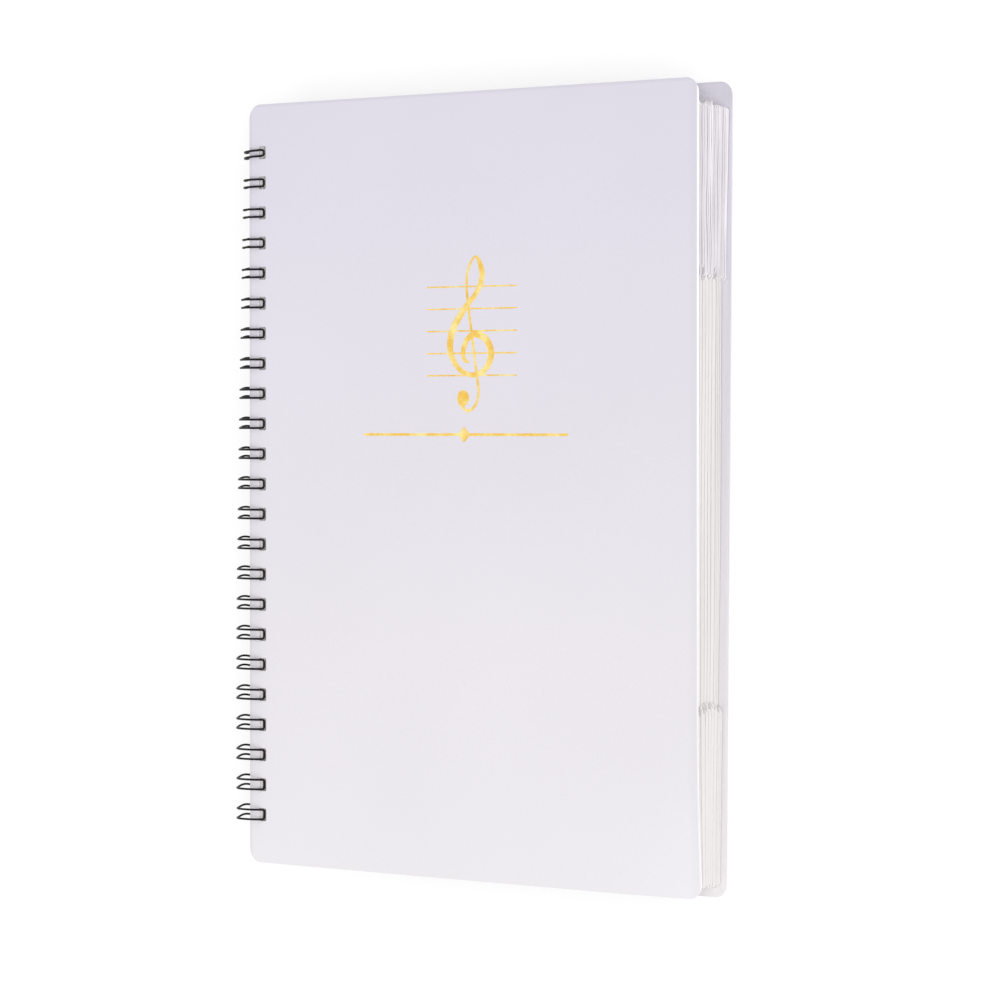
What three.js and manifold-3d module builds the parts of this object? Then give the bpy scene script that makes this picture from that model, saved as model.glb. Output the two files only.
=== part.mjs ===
// A wire-bound music folder, lying closed on its back cover.
//
// Two plastic covers and a stack of pocket leaves hang on one twin-loop wire along the spine.
// Millimetres. X runs across the cover from the spine (-X) to the fore-edge (+X), Y up the page
// (+Y is the head), Z out of the front cover. The origin lies on the table, under the middle of the
// front cover.

import * as THREE from 'three';
import { mergeVertices } from 'three/addons/utils/BufferGeometryUtils.js';
import Module from 'manifold-3d';

const wasm = await Module();
wasm.setup();

// Covers
const coverWidth = 240;
const coverHeight = 320;
const coverThickness = 0.6;
const coverCorner = 6;

// Binding holes. The row leaves at least holeFreeEnd at each end of the spine.
const holePitch = 12.7;
const holeFreeEnd = 20;
const holeMargin = 5.2;
const holeLength = 4.2;
const holeWidth = 5.4;
const holeCorner = 0.8;

// Twin-loop wire: the loops are round, and their axis runs a little askew because the stack is
// thicker at the head. seatRun is how far the wire's seat in the covers lies from the loop's axis.
const wireDiameter = 0.9;
const ringRadius = 10.6;
const twinSpacing = 3.8;
const wireSeat = 7.3;
const seatRunTail = 7.8;
const seatRunHead = 5.4;
const wireBend = 1;
const tipDrop = 3;
const seamGap = 8.5;
const ringFloorGap = 0.1;

// Back cover's rise towards the spine
const riseStart = 9.5;
const riseEnd = 75;

// Pocket leaves
const leafCount = 20;
const leafForeInset = 2.2;
const leafHeadInset = 6;
const leafTailInset = 5;
const leafCorner = 4;
const leafFill = 0.6;
const leafSpineBow = 3;
const leafFlange = 6;
const spineFlange = 2.2;

// Clearances. The way for a loop is cut a few degrees past the loop's seat in the covers.
const restGap = 0.3;
const wireGap = 0.35;
const channelOverrun = 12;

// Gold foil on the front cover: a clef on a short staff, with a plain divider under it
const foilThickness = 0.1;
const staffGap = 9;
const staffWidth = 48;
const staffStroke = 0.6;
const clefX = 4;
const clefLineY = 54;
const dividerY = 21;
const dividerWidth = 110;
const dividerStroke = 1.1;
const dividerDiamond = 6.5;

// Mesh fineness
const wireSides = 4;
const loopSteps = 15;
const riseSteps = 5;
const lengthSteps = 2;
const channelSteps = 7;
const cornerSteps = 5;
const clefSteps = 65;
const clefStrokes = 5;
const dotSteps = 14;

const fullTurn = 360;

// Worked-out places
const spineX = -coverWidth / 2;
const foreX = coverWidth / 2;
const holeCount = Math.floor((coverHeight - 2 * holeFreeEnd) / holePitch) + 1;
const ringLength = (holeCount - 1) * holePitch;
const ringZ = ringRadius + wireDiameter / 2 + ringFloorGap;
const loopYs = Array.from({ length: holeCount }, (_, index) => index * holePitch - ringLength / 2);

// Distance from the loops' axis to the wire's seat in the covers, at a place along the spine
function seatRun(y) {
  return THREE.MathUtils.mapLinear(y, -ringLength / 2, ringLength / 2, seatRunTail, seatRunHead);
}

function ringX(y) {
  return spineX + wireSeat - seatRun(y);
}

// How far above the axis a round loop passes its seat
function seatRise(y) {
  return Math.sqrt(ringRadius ** 2 - seatRun(y) ** 2);
}

function seatAngle(y) {
  return THREE.MathUtils.radToDeg(Math.acos(seatRun(y) / ringRadius));
}

// The covers are straight from the tail loop to the head loop
const seatRiseTail = seatRise(-ringLength / 2);
const seatRiseHead = seatRise(ringLength / 2);

function coverRise(y) {
  return THREE.MathUtils.mapLinear(y, -ringLength / 2, ringLength / 2, seatRiseTail, seatRiseHead);
}

const frontSlope = (seatRiseHead - seatRiseTail) / ringLength;
const frontTilt = Math.atan(frontSlope);
const frontMiddleZ = ringZ + coverRise(0);

// A cover folded right back lies beyond the other cover's margin, so the back cover is nearer to
// the loops' axis by a thickness and a gap. There a round loop passes further towards the
// fore-edge, and the same row of holes puts the back cover there.
function backRise(y) {
  return coverRise(y) - coverThickness - restGap;
}

function backShift(y) {
  return Math.sqrt(ringRadius ** 2 - backRise(y) ** 2) - seatRun(y);
}

const backShiftTail = backShift(-ringLength / 2);
const backShiftHead = backShift(ringLength / 2);
const backTurn = Math.atan((backShiftHead - backShiftTail) / ringLength);

// Underside of the back cover: flat on the table, rising smoothly to the wire at the spine
function backUnderside(x, y) {
  const seatUnderside = ringZ - backRise(y) - coverThickness / 2;
  return seatUnderside * (1 - THREE.MathUtils.smoothstep(x, spineX + riseStart, spineX + riseEnd));
}

function pagesUnderside(x, y) {
  return backUnderside(x, y) + coverThickness + restGap;
}

function pagesTop(y) {
  return ringZ + coverRise(y) - coverThickness / 2 - restGap;
}

// Spine edge of the leaf at a height from 0 at the back cover to 1 at the front cover. It stays
// clear of the margin of the back cover when that is folded right back.
function leafSpineX(height, y) {
  const foldedMargin = 2 * ringX(y) - spineX - backShift(y);
  const clear = Math.max(spineX, foldedMargin) + restGap;
  return clear + leafSpineBow * (1 - (2 * height - 1) ** 2);
}

function material(color, roughness, metalness) {
  return new THREE.MeshStandardMaterial({ color, roughness, metalness });
}

function mesh(name, geometry, look) {
  const piece = new THREE.Mesh(geometry, look);
  piece.name = name;
  return piece;
}

// Solid for joining and cutting
function toSolid(geometry) {
  const bare = geometry.clone();
  bare.deleteAttribute('normal');
  bare.deleteAttribute('uv');
  const merged = mergeVertices(bare, 1e-4);
  return new wasm.Manifold(new wasm.Mesh({
    numProp: 3,
    vertProperties: new Float32Array(merged.getAttribute('position').array),
    triVerts: new Uint32Array(merged.getIndex().array),
  }));
}

function toGeometry(solid) {
  const result = solid.getMesh();
  const geometry = new THREE.BufferGeometry();
  geometry.setAttribute('position', new THREE.BufferAttribute(result.vertProperties, 3));
  geometry.setIndex(new THREE.BufferAttribute(result.triVerts, 1));
  geometry.computeVertexNormals();
  return geometry;
}

function joined(solids) {
  return solids.reduce((sum, solid) => sum.add(solid));
}

// A box divided into a grid, with each corner of the grid put in its place
function warpedBox(columns, rows, place) {
  const geometry = new THREE.BoxGeometry(1, 1, 1, columns, rows, 1);
  const position = geometry.getAttribute('position');
  for (let index = 0; index < position.count; index += 1) {
    const column = Math.round((position.getX(index) + 0.5) * columns);
    const row = Math.round((position.getY(index) + 0.5) * rows);
    const layer = Math.round(position.getZ(index) + 0.5);
    position.setXYZ(index, ...place(column, row / rows, layer));
  }
  return geometry;
}

// Rounded rectangle drawn on a shape or a hole path
function roundedRectangle(path, left, bottom, right, top, radius) {
  path.moveTo(left + radius, bottom);
  path.lineTo(right - radius, bottom);
  path.absarc(right - radius, bottom + radius, radius, -Math.PI / 2, 0);
  path.lineTo(right, top - radius);
  path.absarc(right - radius, top - radius, radius, 0, Math.PI / 2);
  path.lineTo(left + radius, top);
  path.absarc(left + radius, top - radius, radius, Math.PI / 2, Math.PI);
  path.lineTo(left, bottom + radius);
  path.absarc(left + radius, bottom + radius, radius, Math.PI, 1.5 * Math.PI);
  return path;
}

function coverOutline() {
  return roundedRectangle(
    new THREE.Shape(), spineX, -coverHeight / 2, foreX, coverHeight / 2, coverCorner,
  );
}

// Punched hole with its corners cut off
function bindingHole(y) {
  const left = spineX + holeMargin;
  const right = left + holeLength;
  const low = y - holeWidth / 2;
  const high = y + holeWidth / 2;
  return [
    [left + holeCorner, low], [right - holeCorner, low], [right, low + holeCorner],
    [right, high - holeCorner], [right - holeCorner, high], [left + holeCorner, high],
    [left, high - holeCorner], [left, low + holeCorner],
  ].map(([x, along]) => new THREE.Vector2(x, along));
}

// Upright column of an outline, from one height to another
function column(shape, low, high, curveSegments = cornerSteps) {
  const geometry = new THREE.ExtrudeGeometry(shape, {
    depth: high - low, bevelEnabled: false, curveSegments,
  });
  geometry.translate(0, 0, low);
  return geometry;
}

// Places across the back cover, closer together where it rises to the spine
const riseStations = Array.from(
  { length: riseSteps + 1 },
  (_, index) => spineX + THREE.MathUtils.lerp(riseStart, riseEnd, index / riseSteps),
);

function frontCoverGeometry() {
  const outline = coverOutline();
  loopYs.forEach((y) => outline.holes.push(new THREE.Path(bindingHole(y))));
  return column(outline, -coverThickness / 2, coverThickness / 2);
}

// Column through the back cover, moved and turned to where the wire holds that cover
function backColumn(shape) {
  const geometry = column(shape, -1, ringZ);
  geometry.rotateZ(-backTurn);
  const middle = (backShiftTail + backShiftHead) / 2;
  geometry.translate(middle, spineX * Math.sin(backTurn), 0);
  return toSolid(geometry);
}

function backCoverGeometry() {
  const spare = 4;
  const stations = [spineX - spare, ...riseStations, foreX + spare];
  const reach = coverHeight / 2 + spare;
  const sheet = warpedBox(stations.length - 1, lengthSteps, (index, along, layer) => {
    const x = stations[index];
    const y = THREE.MathUtils.lerp(-reach, reach, along);
    return [x, y, backUnderside(x, y) + layer * coverThickness];
  });
  const holes = loopYs.map((y) => backColumn(new THREE.Shape(bindingHole(y))));
  return toGeometry(toSolid(sheet).intersect(backColumn(coverOutline())).subtract(joined(holes)));
}

// A slab of the stack between two heights, set in from the leaves' edges
function stackSlab(low, high, edgeInset, spineInset) {
  const stations = riseStations.length + 1;
  const right = foreX - leafForeInset - edgeInset;
  const tail = -coverHeight / 2 + leafTailInset + edgeInset;
  const head = coverHeight / 2 - leafHeadInset - edgeInset;
  return toSolid(warpedBox(stations, lengthSteps, (index, along, layer) => {
    const y = THREE.MathUtils.lerp(tail, head, along);
    const spine = leafSpineX((low + high) / 2, y) + spineInset;
    const x = [spine, ...riseStations, right][index];
    const height = layer ? high : low;
    return [x, y, THREE.MathUtils.lerp(pagesUnderside(x, y), pagesTop(y), height)];
  }));
}

// Curved way for one twin loop through the stack
function wireChannel(y) {
  const sweep = THREE.MathUtils.degToRad(seatAngle(y) + channelOverrun);
  const outer = ringRadius + wireDiameter / 2 + wireGap;
  const sagitta = ringRadius * (1 - Math.cos(Math.PI / loopSteps));
  const inner = ringRadius - wireDiameter / 2 - wireGap - sagitta;
  const shape = new THREE.Shape();
  shape.absarc(0, 0, outer, -sweep, sweep, false);
  shape.absarc(0, 0, inner, sweep, -sweep, true);
  const geometry = column(shape, -holeWidth / 2, holeWidth / 2, channelSteps);
  geometry.rotateX(Math.PI / 2);
  geometry.translate(ringX(y), y, ringZ);
  return toSolid(geometry);
}

const tipAngle = (y) => seatAngle(y) - tipDrop;
const baseAngle = (y) => tipAngle(y) - seamGap;

// Point of the wire's centre line at an angle round the loops' axis, 0 towards the fore-edge
function onLoop(angle, y) {
  const turn = THREE.MathUtils.degToRad(angle);
  return new THREE.Vector3(
    ringX(y) + ringRadius * Math.cos(turn), y, ringZ + ringRadius * Math.sin(turn),
  );
}

// Groove in the top leaves for the bars that join one loop to the next
function barGroove() {
  const reach = ringLength / 2 + holeWidth / 2;
  return toSolid(warpedBox(1, 2 * lengthSteps, (side, along, layer) => {
    const y = THREE.MathUtils.lerp(-reach, reach, along);
    const bar = onLoop(baseAngle(y), y);
    const room = wireDiameter / 2 + wireGap;
    const x = side ? bar.x + room : bar.x - 2 * room;
    return [x, y, layer ? pagesTop(y) + 1 : bar.z - room];
  }));
}

function pocketPagesGeometry() {
  const leafPitch = 1 / (leafCount - 1 + leafFill);
  const half = (leafPitch * leafFill) / 2;
  const leaves = Array.from({ length: leafCount }, (_, index) => {
    const low = index * leafPitch;
    return stackSlab(low, low + leafPitch * leafFill, 0, 0);
  });
  const core = stackSlab(half, 1 - half, leafFlange, spineFlange);
  const corners = roundedRectangle(
    new THREE.Shape(),
    spineX - leafCorner, -coverHeight / 2 + leafTailInset,
    foreX - leafForeInset, coverHeight / 2 - leafHeadInset, leafCorner,
  );
  const outline = toSolid(column(corners, -1, frontMiddleZ + ringZ));
  const channels = loopYs.map((y) => wireChannel(y));
  const stack = joined([core, ...leaves]).intersect(outline);
  return toGeometry(stack.subtract(joined(channels)).subtract(barGroove()));
}

// Curve through a list of points, one step from each point to the next
class PointCurve extends THREE.Curve {
  constructor(points) {
    super();
    this.points = points;
  }

  getPointAt(u, target = new THREE.Vector3()) {
    return target.copy(this.points[Math.round(u * (this.points.length - 1))]);
  }

  getTangentAt(u, target = new THREE.Vector3()) {
    const index = Math.round(u * (this.points.length - 1));
    const before = this.points[Math.max(index - 1, 0)];
    const after = this.points[Math.min(index + 1, this.points.length - 1)];
    return target.subVectors(after, before).normalize();
  }
}

// One hairpin after another: down through the leaves, round behind the spine and back to the
// front cover's hole, across the tip, and the same way back to the bar of the next hairpin
function wirePoints() {
  const bend = wireBend;
  const bendAngle = THREE.MathUtils.radToDeg(bend / ringRadius);
  const cut = 1 - Math.SQRT1_2;
  const points = [];
  loopYs.forEach((y, loop) => {
    const near = y - twinSpacing / 2;
    const far = y + twinSpacing / 2;
    const base = baseAngle(y);
    const tip = tipAngle(y) - fullTurn;
    const corner = (angle, side, towardsBar, upwards) => onLoop(
      angle + upwards * cut * bendAngle, side + towardsBar * cut * bend,
    );
    const run = (start, end, side) => {
      for (let step = 0; step <= loopSteps; step += 1) {
        points.push(onLoop(THREE.MathUtils.lerp(start, end, step / loopSteps), side));
      }
    };
    if (loop > 0) {
      points.push(onLoop(base, near - bend), corner(base, near, -1, -1));
    }
    run(base - bendAngle, tip + bendAngle, near);
    points.push(corner(tip, near, 1, 1), onLoop(tip, near + bend));
    points.push(onLoop(tip, far - bend), corner(tip, far, -1, 1));
    run(tip + bendAngle, base - bendAngle, far);
    if (loop < holeCount - 1) {
      points.push(corner(base, far, 1, -1), onLoop(base, far + bend));
    }
  });
  return points;
}

function bindingWireGeometry() {
  const points = wirePoints();
  const section = new THREE.Shape();
  for (let side = 0; side < wireSides; side += 1) {
    const turn = (side / wireSides) * 2 * Math.PI;
    const x = (wireDiameter / 2) * Math.cos(turn);
    const y = (wireDiameter / 2) * Math.sin(turn);
    if (side === 0) section.moveTo(x, y);
    else section.lineTo(x, y);
  }
  section.closePath();
  return new THREE.ExtrudeGeometry(section, {
    steps: points.length - 1, extrudePath: new PointCurve(points), bevelEnabled: false,
  });
}

// The clef's stroke in staff gaps from the line that the clef marks: the places of its middle and
// its width there, from the curl inside the bowl, round it, up to the loop at the top and down
// the stem to the dot
const clefPath = [
  [-0.16, -0.42, 0.1], [-0.42, -0.28, 0.2], [-0.5, 0.1, 0.26], [-0.26, 0.6, 0.28],
  [0.22, 0.86, 0.3], [0.85, 0.62, 0.34], [1.16, -0.02, 0.36], [0.85, -0.68, 0.3],
  [0.12, -0.98, 0.22], [-0.72, -0.72, 0.24], [-1.26, 0.08, 0.34], [-1.12, 1.05, 0.38],
  [-0.42, 2, 0.3], [0.28, 2.7, 0.26], [0.62, 3.4, 0.32], [0.5, 4.02, 0.26],
  [0.22, 4.34, 0.1], [-0.14, 3.92, 0.14], [-0.3, 3.2, 0.14], [-0.22, 2.3, 0.14],
  [0.04, 0.7, 0.14], [0.32, -1.05, 0.14], [0.42, -1.75, 0.14], [0.22, -2.34, 0.14],
  [-0.26, -2.6, 0.14], [-0.72, -2.2, 0.2],
];
const clefDot = { x: -0.5, y: -2.02, radius: 0.36 };
const staffLines = [-1, 0, 1, 2, 3];

// Brush stroke along a run of points, whose z is the stroke's width
function brushStroke(points) {
  const edge = (side) => points.map((point, index) => {
    const before = points[Math.max(index - 1, 0)];
    const after = points[Math.min(index + 1, points.length - 1)];
    const across = new THREE.Vector2(before.y - after.y, after.x - before.x).normalize();
    return new THREE.Vector2(point.x, point.y).addScaledVector(across, (side * point.z) / 2);
  });
  const outline = [...edge(-1), ...edge(1).reverse()];
  return toSolid(column(new THREE.Shape(outline), 0, foilThickness));
}

// The stroke is cut where it would cross itself, and the runs are joined again as solids
function foilClefGeometry() {
  const middle = clefPath.map((point) => new THREE.Vector3(...point).multiplyScalar(staffGap));
  const points = new THREE.CatmullRomCurve3(middle).getPoints(clefSteps);
  const runLength = clefSteps / clefStrokes;
  const strokes = Array.from({ length: clefStrokes }, (_, run) => (
    brushStroke(points.slice(run * runLength, (run + 1) * runLength + 1))
  ));
  const dot = new THREE.Shape();
  dot.absarc(clefDot.x * staffGap, clefDot.y * staffGap, clefDot.radius * staffGap, 0, 2 * Math.PI);
  const lines = staffLines.map((step) => {
    const line = new THREE.BoxGeometry(staffWidth, staffStroke, foilThickness);
    line.translate(0, step * staffGap, foilThickness / 2);
    return toSolid(line);
  });
  const dotSolid = toSolid(column(dot, 0, foilThickness, dotSteps));
  const geometry = toGeometry(joined([...strokes, dotSolid, ...lines]));
  geometry.translate(clefX, clefLineY, 0);
  return geometry;
}

function foilDividerGeometry() {
  const half = dividerWidth / 2;
  const line = dividerStroke / 2;
  const diamond = dividerDiamond / 2;
  const shape = new THREE.Shape([
    [-half, 0], [-half + line, -line], [-diamond + line, -line], [0, -diamond],
    [diamond - line, -line], [half - line, -line], [half, 0], [half - line, line],
    [diamond - line, line], [0, diamond], [-diamond + line, line], [-half + line, line],
  ].map(([x, y]) => new THREE.Vector2(x, dividerY + y)));
  return column(shape, 0, foilThickness);
}

const coverLook = material(0xe4e0ea, 0.45, 0);
const foilLook = material(0xe8c25a, 0.3, 1);

const folder = new THREE.Group();
folder.add(mesh('back_cover', backCoverGeometry(), coverLook));
folder.add(mesh('pocket_pages', pocketPagesGeometry(), material(0xefecec, 0.25, 0)));
folder.add(mesh('binding_wire', bindingWireGeometry(), material(0x1c191d, 0.35, 0.2)));

// The front cover lies on the stack, so it leans with it, and the foil goes with the cover
const front = new THREE.Group();
front.position.z = frontMiddleZ;
front.rotation.x = frontTilt;
front.add(mesh('front_cover', frontCoverGeometry(), coverLook));
const foil = new THREE.Group();
foil.position.z = coverThickness / 2 + restGap;
foil.add(mesh('foil_clef', foilClefGeometry(), foilLook));
foil.add(mesh('foil_divider', foilDividerGeometry(), foilLook));
front.add(foil);
folder.add(front);

export default folder;
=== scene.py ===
"""The looks of a wire-bound music folder that lies closed on its back cover.

Lengths are in millimetres up to the point where a mesh is made, and Blender gets metres.
"""

import math
import random

import bpy
import numpy as np
from mathutils import Matrix, Vector
from mathutils.geometry import delaunay_2d_cdt


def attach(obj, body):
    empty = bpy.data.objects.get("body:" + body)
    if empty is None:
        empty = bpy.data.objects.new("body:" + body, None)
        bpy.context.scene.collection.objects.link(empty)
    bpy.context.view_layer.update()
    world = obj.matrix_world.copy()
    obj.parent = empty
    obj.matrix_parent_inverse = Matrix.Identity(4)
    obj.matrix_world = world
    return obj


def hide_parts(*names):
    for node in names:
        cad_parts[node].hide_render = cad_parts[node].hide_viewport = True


MM = 0.001
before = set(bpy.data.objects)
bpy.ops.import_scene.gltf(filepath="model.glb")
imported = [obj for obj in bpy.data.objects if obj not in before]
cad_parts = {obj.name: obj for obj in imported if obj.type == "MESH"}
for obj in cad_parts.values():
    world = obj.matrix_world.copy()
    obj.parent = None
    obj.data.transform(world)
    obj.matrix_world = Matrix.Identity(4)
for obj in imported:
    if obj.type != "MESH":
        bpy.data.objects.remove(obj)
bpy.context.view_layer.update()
scene = bpy.context.scene

# Covers. The front cover's lower fore-edge corner droops towards the leaves.
COVER_WIDTH = 240
COVER_HEIGHT = 320
COVER_THICKNESS = 0.6
COVER_CORNER = 6
EDGE_ROUND = 0.14
EDGE_SEGMENTS = 2
EDGE_ANGLE = 50
DROOP = 2.7
DROOP_ALONG = 75
DROOP_ACROSS = 60
COVER_GRID = 4
COVER_GRID_ROWS = 60
COVER_GRID_INSET = 2

# Binding holes
HOLE_PITCH = 12.7
HOLE_FREE_END = 20
HOLE_MARGIN = 5.2
HOLE_LENGTH = 4.2
HOLE_WIDTH = 5.4
HOLE_CORNER = 0.8

# Twin-loop wire. The twins lie closer together towards the head, and at the last loop they are
# pinched by TWIN_PINCH more.
WIRE_DIAMETER = 0.9
RING_RADIUS = 10.6
TWIN_SPACING_TAIL = 4.1
TWIN_SPACING_HEAD = 3.2
TWIN_PINCH = 0.7
WIRE_SEAT = 7.3
SEAT_RUN_TAIL = 7.8
SEAT_RUN_HEAD = 5.4
WIRE_BEND = 1
TIP_DROP = 3
SEAM_GAP = 8.5
RING_FLOOR_GAP = 0.1
LOOP_STEPS = 64
BEND_STEPS = 5
WIRE_SIDES = 12
WIRE_SMOOTH_ANGLE = 60

# The last loop at the head leans: it slips a little to the tail, and more towards the spine
HEAD_ONLY_POWER = 30
HEAD_LEAN = 0.06
HEAD_SLIP = 0.1

# Every loop leans to the head between these two angles, which lie behind the spine
BEHIND_LEAN = 1
BEHIND_START = 142
BEHIND_END = 222

# The loops behind the spine are pressed a little out of round: outwards at PRESS_TURN of the way
# up the spine, and inwards at both ends
PRESS_TURN = 0.33
PRESS_OUT = 1.1
PRESS_TAIL = 2.4
PRESS_HEAD = 3.5

# Back cover's rise towards the spine
RISE_START = 9.5
RISE_END = 75

# Pocket leaves: a white sheet with clear film over its head and tail, which stands out past it
LEAF_COUNT = 20
LEAF_FORE_INSET = 2.2
LEAF_SHIFT = 1.5
LEAF_FLARE = 1
FLARE_START = 90
LEAF_HEAD_INSET = 6
LEAF_TAIL_INSET = 5
LEAF_CORNER = 4
LEAF_SPINE_BOW = 3
LEAF_SHEET = 0.78
SHEET_FORE_INSET = 2.3
SHEET_HEAD_INSET = 3.4
FILM_LIFT = 0.42
FILM_WELD = 0.4
BARE_FILM_LIFT = 0.04
FILM_WELD_WIDTH = 2.4
FILM_STRIP = 70
LONG_FILMS = (9, 12, 16)
FILM_CORNER = 1.5
FILM_PAST_SHEET = 0.3
REST_GAP = 0.3

# The film and the inner mesh of the leaves start this far past the loops
LEAF_MARGIN = 5

# Meshes of the sheets and of the film
SHEET_EDGE_STEP = 5
SHEET_GRID = 12
SHEET_GRID_ROWS = 60
SHEET_GRID_INSET_X = 4
SHEET_GRID_INSET_Y = 3
FILM_EDGE_STEP = 4
FILM_GRID = 14
FILM_GRID_ROWS = 18
FILM_GRID_INSET = 1

# A leaf's holes reach this far to each side of the wire's centre line
LEAF_HOLE_LEFT = 1
LEAF_HOLE_RIGHT = 1.6

# The sheet heads step back this much more at the lowest leaf than at the highest
SHEET_HEAD_STEP = 1.5

# Past the head of the sheet the film's two faces close up, over a short run
BARE_FILM_START = 1
BARE_FILM_RUN = 1.5

# The leaves' edges scatter by these lengths
LEAF_SEED = 4
FORE_SCATTER = 0.7
TAIL_SCATTER = 1.5
SHEET_HEAD_SCATTER = 0.4
TAIL_STRIP_SCATTER = 2
HEAD_STRIP_SCATTER = 3
LONG_FILM_SCATTER = 2.2

# Waves of the leaves at the fore-edge: height, length of one radian, turn from the lowest leaf to
# the highest, and start in radians. The quick ones are in the head strip only.
SLOW_WAVE = (0.3, 27, 4, 0)
QUICK_WAVES = ((0.3, 7, 6, 1), (0.12, 3.7, -9, 2.5))
WAVES_START_X = 20
QUICK_START_Y = 60
QUICK_FULL_Y = 100

# Gold foil on the front cover
FOIL_THICKNESS = 0.03
FOIL_GAP = 0.01
FOIL_ROUGHNESS = 0.08
FOIL_EDGE_STEP = 0.7
FOIL_SEED = 8
STAFF_GAP = 9
STAFF_WIDTH = 48
STAFF_STROKE = 0.6
CLEF_X = 4
CLEF_LINE_Y = 54
DIVIDER_Y = 21
DIVIDER_WIDTH = 110
DIVIDER_STROKE = 1.1
DIVIDER_DIAMOND = 6.5

# Worked-out places
SPINE_X = -COVER_WIDTH / 2
FORE_X = COVER_WIDTH / 2
HEAD_Y = COVER_HEIGHT / 2
TAIL_Y = -COVER_HEIGHT / 2
HOLE_COUNT = int((COVER_HEIGHT - 2 * HOLE_FREE_END) // HOLE_PITCH) + 1
RING_LENGTH = (HOLE_COUNT - 1) * HOLE_PITCH
RING_Z = RING_RADIUS + WIRE_DIAMETER / 2 + RING_FLOOR_GAP
LOOP_YS = [index * HOLE_PITCH - RING_LENGTH / 2 for index in range(HOLE_COUNT)]


def lerp(a, b, share):
    return a + (b - a) * share


def along_spine(y):
    """0 at the tail loop and 1 at the head loop."""
    return (y + RING_LENGTH / 2) / RING_LENGTH


def head_only(y):
    """1 at the head loop, and next to nothing from the third loop on."""
    return max(0, along_spine(y)) ** HEAD_ONLY_POWER


def seat_run(y):
    return lerp(SEAT_RUN_TAIL, SEAT_RUN_HEAD, along_spine(y))


def ring_x(y):
    return SPINE_X + WIRE_SEAT - seat_run(y)


RISE_TAIL = math.sqrt(RING_RADIUS**2 - SEAT_RUN_TAIL**2)
RISE_HEAD = math.sqrt(RING_RADIUS**2 - SEAT_RUN_HEAD**2)
FRONT_TILT = math.atan((RISE_HEAD - RISE_TAIL) / RING_LENGTH)


def cover_rise(y):
    """Height of the front cover's middle over the loops' axis."""
    return lerp(RISE_TAIL, RISE_HEAD, along_spine(y))


def back_rise(y):
    """Depth of the back cover's middle under the loops' axis, at the wire."""
    return cover_rise(y) - COVER_THICKNESS - REST_GAP


def back_shift(y):
    """How far the wire holds the back cover towards the fore-edge."""
    return math.sqrt(RING_RADIUS**2 - back_rise(y) ** 2) - seat_run(y)


BACK_SHIFT_TAIL = back_shift(-RING_LENGTH / 2)
BACK_SHIFT_HEAD = back_shift(RING_LENGTH / 2)
BACK_TURN = math.atan((BACK_SHIFT_HEAD - BACK_SHIFT_TAIL) / RING_LENGTH)


def on_back(x, y):
    """Place on the table of a point of the back cover, which is moved and turned a little."""
    middle = (BACK_SHIFT_TAIL + BACK_SHIFT_HEAD) / 2
    cosine, sine = math.cos(BACK_TURN), math.sin(BACK_TURN)
    return (x * cosine + y * sine + middle, y * cosine - x * sine + SPINE_X * sine)


def smoothstep(x, low, high):
    share = np.clip((x - low) / (high - low), 0, 1)
    return share * share * (3 - 2 * share)


def back_underside(x, y):
    seat = RING_Z - back_rise(y) - COVER_THICKNESS / 2
    return seat * (1 - smoothstep(x, SPINE_X + RISE_START, SPINE_X + RISE_END))


def front_middle(x, y):
    across = np.clip((x - FORE_X) / DROOP_ACROSS + 1, 0, 1)
    along = np.clip((TAIL_Y - y) / DROOP_ALONG + 1, 0, 1)
    return RING_Z + cover_rise(y) - DROOP * across**2 * along**2


def stack_height(x, y, share):
    """Height in the stack of leaves, from 0 at the back cover to 1 at the front cover."""
    low = back_underside(x, y) + COVER_THICKNESS + REST_GAP
    high = front_middle(x, y) - COVER_THICKNESS / 2 - REST_GAP
    return lerp(low, high, share)


def leaf_spine_x(share, y):
    """Spine edge of a leaf, clear of the back cover's margin when that is folded right back."""
    folded_margin = 2 * ring_x(y) - SPINE_X - back_shift(y)
    clear = max(SPINE_X, folded_margin) + REST_GAP
    return clear + LEAF_SPINE_BOW * (1 - (2 * share - 1) ** 2)


# Camera: the photograph's, placed from the front cover's spine edge, tail edge and outer face
FOCAL_PER_FRAME = 4.474
SENSOR_WIDTH = 36
CAMERA_FROM_SPINE = 1308.5
CAMERA_FROM_TAIL = 184.9
CAMERA_FROM_COVER = 1371.6
CAMERA_TURN = 40.45
CAMERA_PITCH = 0.96
CAMERA_CLIP_METRES = 20


def make_camera():
    across = Vector((1, 0, 0))
    up_page = Vector((0, math.cos(FRONT_TILT), math.sin(FRONT_TILT)))
    out = across.cross(up_page)
    corner = Vector((SPINE_X, TAIL_Y, RING_Z + cover_rise(TAIL_Y)))
    corner += out * COVER_THICKNESS / 2
    place = corner + across * CAMERA_FROM_SPINE
    place += up_page * CAMERA_FROM_TAIL + out * CAMERA_FROM_COVER
    turn = math.radians(CAMERA_TURN)
    right = across * math.cos(turn) - out * math.sin(turn)
    level = -across * math.sin(turn) - out * math.cos(turn)
    pitch = math.radians(CAMERA_PITCH)
    ahead = level * math.cos(pitch) - up_page * math.sin(pitch)
    up = right.cross(ahead)
    data = bpy.data.cameras.new("camera")
    data.sensor_width = SENSOR_WIDTH
    data.lens = FOCAL_PER_FRAME * SENSOR_WIDTH
    data.clip_end = CAMERA_CLIP_METRES
    camera = bpy.data.objects.new("camera", data)
    turn_matrix = Matrix((right, up, -ahead)).transposed().to_4x4()
    camera.matrix_world = Matrix.Translation(place * MM) @ turn_matrix
    scene.collection.objects.link(camera)
    scene.camera = camera


# Outlines and meshes


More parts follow.
